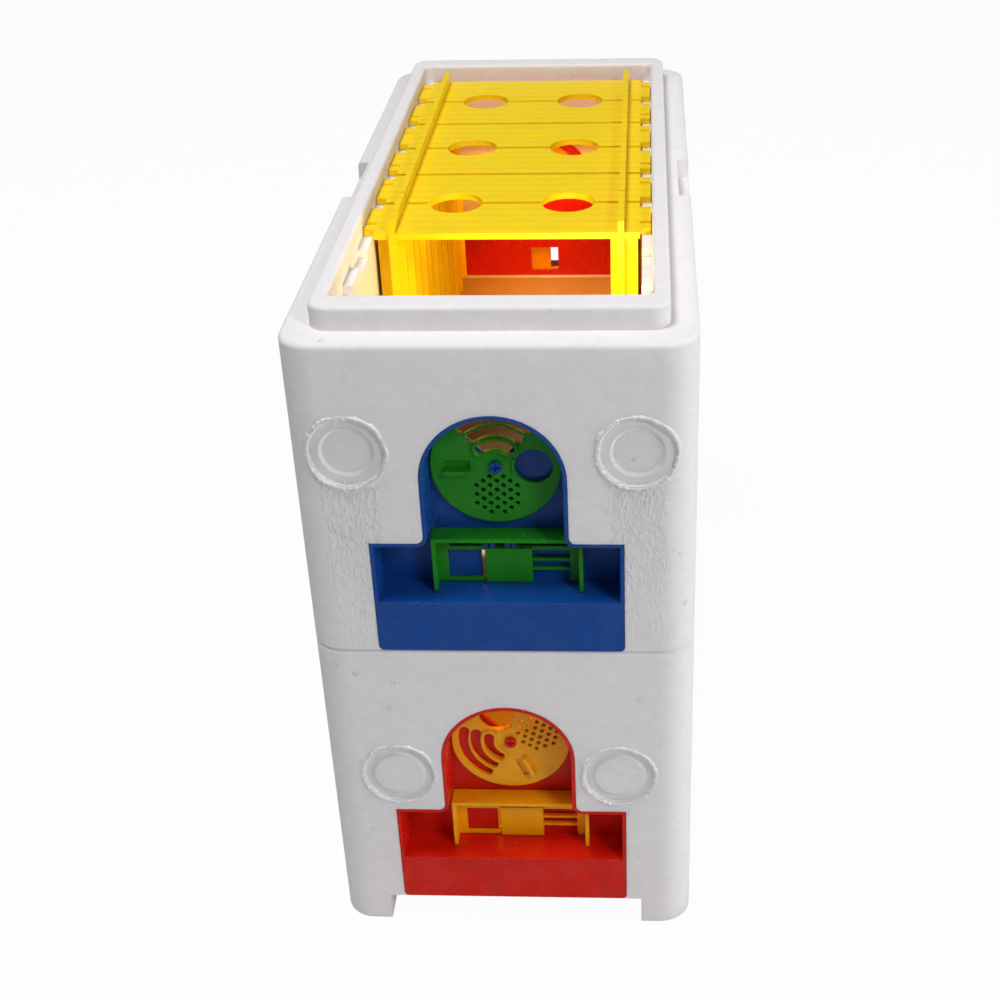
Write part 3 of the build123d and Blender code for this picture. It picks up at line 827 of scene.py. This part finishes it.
@dataclass
class Entrance:
    """One entrance: its insert and pin in one colour, its disc and gate in another.

    The turn of its disc and the half angle of the disc's slot are in degrees.
    """

    name: str
    end: End
    turn: float
    fixed: bpy.types.Material
    moving: bpy.types.Material
    moving_slot: str
    disc_thickness: float = 1.8 * MM
    slot_radius: float = 9.2 * MM
    slot_half_angle: float = 37.0
    ridge_offset: float = 2.7 * MM
    shoulder: Arc = Arc((0.0, 0.0), 12.05 * MM, (-46.0, 46.0))
    tail: Arc = Arc((14.4 * MM, 0.0), 7.9 * MM, (-114.0, -66.0))
    bead_half_width: float = 0.7 * MM
    bead_height: float = 1.2 * MM
    bead_end_power: int = 8
    bead_steps: int = 28
    bead_sides: int = 12
    nub_radius: float = 0.9 * MM
    nub_height: float = 0.25 * MM
    nub_side: float = 0.6
    nub_steps: int = 24
    nub_rows: int = 6

    def slot_loop(self) -> tuple[Arc, ...]:
        """Arcs that run clockwise round the inner slot, at the middle of its ridge."""
        swing = math.radians(self.slot_half_angle)
        across = self.slot_radius * math.sin(swing)
        up = self.slot_radius * math.cos(swing)
        half = self.slot_half_angle
        offset = self.ridge_offset
        return (
            Arc((0.0, 0.0), self.slot_radius + offset, (-half, half)),
            Arc((across, up), offset, (half, half + 180.0)),
            Arc((0.0, 0.0), offset - self.slot_radius, (half + 180.0, 180.0 - half)),
            Arc((-across, up), offset, (180.0 - half, 360.0 - half)),
        )

    def bead(self, arcs: tuple[Arc, ...]) -> tuple[np.ndarray, np.ndarray]:
        """Points and faces of a rounded bead along arcs on the disc.

        For the angle p along an arc with centre c and radius r, and v round the bead,
        P = c + (r + a k cos v) (sin p, cos p), raised by b k sin v from the disc's face and turned with
        the disc. Several arcs close on themselves, with k = 1. A single arc has round ends:
        k = sqrt(1 - |2 s - 1|^n) for s from 0 to 1 along it, with n the power of the bead's ends.

        Args:
            arcs: arcs that follow each other.

        Returns:
            The points, and four point indices for each face.
        """
        closed = len(arcs) > 1
        v = round_angles(self.bead_sides)[None, :]
        s = np.linspace(0.0, 1.0, self.bead_steps, endpoint=not closed)[:, None]
        k = np.ones_like(s) if closed else np.sqrt(1.0 - np.abs(2.0 * s - 1.0) ** self.bead_end_power)
        lift = np.tile(self.bead_height * k * np.sin(v), (len(arcs), 1))
        flat = []
        for arc in arcs:
            p = np.radians(arc.span[0] + (arc.span[1] - arc.span[0]) * s)
            reach = arc.radius + self.bead_half_width * k * np.cos(v)
            flat.append((arc.centre[0] + reach * np.sin(p), arc.centre[1] + reach * np.cos(p)))
        across, up = (np.vstack(part) for part in zip(*flat))
        low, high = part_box(f"{self.name}_entrance_disc")
        facing = self.end.value
        face_y = high.y - self.disc_thickness if facing < 0 else low.y + self.disc_thickness
        turn = math.radians(self.turn)
        x = 0.5 * (low.x + high.x) - facing * (across * math.cos(turn) - up * math.sin(turn))
        z = 0.5 * (low.z + high.z) + across * math.sin(turn) + up * math.cos(turn)
        faces = grid_faces(len(across), self.bead_sides, close_rows=closed)
        return point_rows(x, face_y + facing * lift, z), faces[:, ::-1]

    def slot_beads(self) -> bpy.types.Object:
        """Beads on the ridge of the disc, as one piece."""
        paths = (self.slot_loop(), (self.shoulder,), (self.tail,))
        return mesh_piece(f"{self.name}_slot_beads", [self.bead(arcs) for arcs in paths])

    def sprue_nub(self) -> bpy.types.Object:
        """Small moulding nub on the roof of the gate.

        A flattened dome: for the angle u round it and v from its foot to its top,
        P = C + (r cos v cos u, r cos v sin u, h sin v).

        Returns:
            The nub, off the middle of the roof.
        """
        low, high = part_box(f"{self.name}_sliding_gate")
        side = (1.0 - self.nub_side) * low.x + self.nub_side * high.x
        centre = np.array([side, 0.5 * (low.y + high.y), high.z])
        u = round_angles(self.nub_steps)[None, :]
        v = np.linspace(0.0, 0.5 * np.pi, self.nub_rows)[:, None]
        flat = self.nub_radius * np.cos(v)
        points = centre + point_rows(flat * np.cos(u), flat * np.sin(u), self.nub_height * np.sin(v))
        return mesh_piece(f"{self.name}_sprue_nub", [(points, grid_faces(self.nub_rows, self.nub_steps))])

    def build(self, nodes: dict[str, bpy.types.Object]) -> None:
        """Dress the pieces of the entrance and add the nub of its gate and the beads of its disc."""
        for piece in ("entrance_insert", "pivot_pin"):
            dress(nodes[f"{self.name}_{piece}"], self.fixed)
        for piece in ("entrance_disc", "sliding_gate"):
            dress(nodes[f"{self.name}_{piece}"], self.moving)
        place_piece(self.sprue_nub(), f"{self.name}_gate", self.moving)
        place_piece(self.slot_beads(), f"{self.name}_disc", self.moving)


@dataclass(frozen=True)
class Lamp:
    """Soft lamp: where it hangs, what it points at, its two sides, its power and its colour."""

    name: str
    place: Point
    target: Point
    size: Span
    watts: float
    colour: Colour = WHITE

    def build(self) -> None:
        """Hang the lamp and point it at its target."""
        data = bpy.data.lights.new(self.name, "AREA")
        data.shape = "RECTANGLE"
        data.size, data.size_y = self.size
        data.energy = self.watts
        data.color = self.colour
        lamp = bpy.data.objects.new(self.name, data)
        aim = Vector(self.target) - Vector(self.place)
        turned = aim.to_track_quat("-Z", "Y").to_matrix().to_4x4()
        lamp.matrix_world = Matrix.Translation(self.place) @ turned
        bpy.context.scene.collection.objects.link(lamp)


@dataclass
class Studio:
    """Camera, lamps, white surround and floor.

    The last three lamps are inside the bodies, for the light that the foam and the frames let through.
    """

    eye: Point = (0.05582, -0.6572, 0.51883)
    pitch: float = 29.82
    yaw: float = -3.26
    roll: float = -1.57
    lens: float = 55.718
    shift: tuple[float, float] = (-0.0673, -0.0506)
    nearest: float = 0.01
    floor_half: float = 6.0
    floor_colour: Colour = (0.86, 0.86, 0.86)
    floor_mirrored: Colour = (0.12, 0.12, 0.12)
    floor_glow: float = 0.96
    sky_level: float = 0.15
    bounces: int = 10
    lamps: tuple[Lamp, ...] = (
        Lamp("key", (0.85, -1.05, 1.2), (0.0, 0.0, 0.2), (0.35, 0.35), 6.9),
        Lamp("overhead", (-0.3, -0.24, 1.6), (0.0, 0.0, 0.25), (0.5, 0.5), 13.6),
        Lamp("right_side", (1.1, -0.2, 0.2), (0.0, 0.0, 0.15), (0.8, 0.6), 5.5),
        Lamp("upper_glow", (0.0, 0.128, 0.245), (0.0, 0.128, 0.168), (0.08, 0.012), 0.033, WARM),
        Lamp("bay_glow", (0.03, -0.141, 0.262), (0.02, 0.0, 0.268), (0.05, 0.02), 0.12, GOLDEN),
        Lamp("lower_glow", (0.0, -0.103, 0.131), (0.0, -0.1, 0.03), (0.07, 0.086), 0.05, WARM),
    )

    def camera(self) -> None:
        """Camera turned by yaw about Z, then pitched down and rolled about its own line of sight."""
        pitch, yaw, roll = (math.radians(angle) for angle in (self.pitch, self.yaw, self.roll))
        ahead = Vector((math.sin(yaw) * math.cos(pitch), math.cos(yaw) * math.cos(pitch), -math.sin(pitch)))
        level = Vector((math.cos(yaw), -math.sin(yaw), 0.0))
        above = level.cross(ahead)
        right = math.cos(roll) * level + math.sin(roll) * above
        up = math.cos(roll) * above - math.sin(roll) * level
        data = bpy.data.cameras.new("camera")
        data.lens = self.lens
        data.shift_x, data.shift_y = self.shift
        data.clip_start = self.nearest
        camera = bpy.data.objects.new("camera", data)
        turned = Matrix((right, up, -ahead)).transposed().to_4x4()
        camera.matrix_world = Matrix.Translation(self.eye) @ turned
        bpy.context.scene.collection.objects.link(camera)
        bpy.context.scene.camera = camera

    def surround(self) -> None:
        """World that lights evenly and shows white to the camera and through what is clear."""
        world = bpy.data.worlds.new("surround")
        world.use_nodes = True
        bpy.context.scene.world = world
        sheet = NodeSheet(world.node_tree)
        path = sheet.add("ShaderNodeLightPath").outputs
        seen = sheet.calc("MAXIMUM", path["Is Camera Ray"], path["Is Transmission Ray"])
        lighting = world.node_tree.nodes["Background"]
        sheet.feed_all(lighting, {"Color": rgba(WHITE), "Strength": self.sky_level})
        white = sheet.add("ShaderNodeBackground", {"Color": rgba(WHITE), "Strength": 1.0})
        mixed = sheet.add("ShaderNodeMixShader", {"Fac": seen})
        sheet.feed(mixed.inputs[1], lighting.outputs[0])
        sheet.feed(mixed.inputs[2], white.outputs[0])
        sheet.feed(world.node_tree.nodes["World Output"].inputs["Surface"], mixed.outputs[0])

    def floor(self) -> None:
        """Pale floor at Z = 0: white to the camera with a soft shadow, dark in the gloss of the plastic."""
        side = np.array([-self.floor_half, self.floor_half])
        x, y = np.meshgrid(side, side)
        floor = mesh_piece("floor", [(point_rows(x, y, np.zeros_like(x)), np.array([[0, 1, 3, 2]]))])
        material, sheet, shader = new_material("floor_white")
        sheet.tree.nodes.remove(shader)
        path = sheet.add("ShaderNodeLightPath").outputs
        tone = sheet.blend(path["Is Glossy Ray"], rgba(self.floor_colour), rgba(self.floor_mirrored))
        matt = sheet.add("ShaderNodeBsdfDiffuse", {"Color": tone})
        glow = sheet.add("ShaderNodeEmission", {"Color": rgba(WHITE), "Strength": 1.0})
        seen = sheet.calc("MULTIPLY", path["Is Camera Ray"], self.floor_glow)
        mixed = sheet.add("ShaderNodeMixShader", {"Fac": seen})
        sheet.feed(mixed.inputs[1], matt.outputs[0])
        sheet.feed(mixed.inputs[2], glow.outputs[0])
        sheet.feed(sheet.tree.nodes["Material Output"].inputs["Surface"], mixed.outputs[0])
        floor.data.materials.append(material)

    def build(self) -> None:
        """Set up the whole studio."""
        bpy.context.scene.view_settings.view_transform = "Standard"
        self.camera()
        self.surround()
        self.floor()
        bpy.context.scene.cycles.diffuse_bounces = self.bounces
        for lamp in self.lamps:
            lamp.build()
        LOG.info("studio ready")


def foam_bodies() -> tuple[FoamBody, ...]:
    """Both foam bodies, with their finishes and the steps of their ring marks."""
    torn = FoamFinish(
        "upper_white_foam",
        floor_z=168.7 * MM,
        torn_x=(43.0 * MM, 64.5 * MM),
        torn_z=(150.0 * MM, 224.0 * MM),
        wall_y=164.0 * MM,
    )
    plain = FoamFinish(
        "lower_white_foam",
        floor_z=34.7 * MM,
        # The lower body's second colour inside is warm too: painted glow all over its inside.
        second_painted_light=(0.6, 0.36, 0.06),
        bay_painted_light=1.0,
    )
    # A lighter copy of the foam, without subsurface glow, for the rims and steps of the ring marks: painted
    # highlight.
    burr_painted_highlight = FoamFinish("white_foam_burr_painted_highlight", colour=(0.87, 0.85, 0.865), glow_share=0.0)
    edge = Step(radii=(14.9 * MM, 13.6 * MM), depths=(-0.05 * MM, 0.97 * MM))
    sunk = Step(radii=(10.5 * MM, 8.9 * MM), depths=(0.97 * MM, 1.97 * MM))
    flush = Step(radii=(9.9 * MM, 11.4 * MM), depths=(-0.03 * MM, 0.97 * MM))
    return (
        FoamBody(Storey.UPPER, torn, burr_painted_highlight, mark_x=53.6 * MM, mark_drop=53.4 * MM, steps=(edge, sunk)),
        FoamBody(Storey.LOWER, plain, burr_painted_highlight, mark_x=45.8 * MM, mark_drop=73.5 * MM, steps=(edge, flush)),
    )


def comb_frames() -> CombFrames:
    """The comb frames, with lines that start at the joint of the first two frames."""
    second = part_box("upper_comb_frame_2")
    joint = 0.5 * (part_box("upper_comb_frame_1")[0].y + second[1].y)
    line_pitch = 7.1 * MM
    finish = PlasticFinish(
        "frame_yellow",
        (0.98, 0.69, 0.01),
        dark=0.98,
        light=1.02,
        edge=0.2 * MM,
        gloss=(0.3, 0.4),
        shine=0.12,
        glow=(5.0 * MM, 3.0 * MM, 0.3 * MM),
        lines=(joint, line_pitch),
    )
    return CombFrames(finish)


def entrances() -> list[Entrance]:
    """The four entrances, with the turn of each disc and the colours of their pieces."""
    finishes = (
        PlasticFinish("blue_plastic", (0.006, 0.068, 0.33)),
        PlasticFinish("green_plastic", (0.014, 0.27, 0.008)),
        PlasticFinish("red_plastic", (0.7, 0.012, 0.003)),
        PlasticFinish("yellow_plastic", (1.0, 0.45, 0.002)),
    )
    made = {finish.slot: finish.material() for finish in finishes}
    rows = (
        ("upper_front", End.FRONT, 0.0, "blue_plastic", "green_plastic"),
        ("upper_rear", End.REAR, -90.0, "red_plastic", "yellow_plastic"),
        ("lower_front", End.FRONT, 112.0, "red_plastic", "yellow_plastic"),
        ("lower_rear", End.REAR, 0.0, "blue_plastic", "green_plastic"),
    )
    return [
        Entrance(name, end, turn, made[fixed], made[moving], moving)
        for name, end, turn, fixed, moving in rows
    ]


def main() -> None:
    """Load the frame, dress every piece and add the new ones."""
    logging.basicConfig(level=logging.INFO, format="%(name)s: %(message)s")
    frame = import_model()
    nodes = frame["nodes"]
    Studio().build()
    for body in foam_bodies():
        body.build(nodes)
    comb_frames().build(nodes)
    for entrance in entrances():
        entrance.build(nodes)


if __name__ == "__main__":
    main()
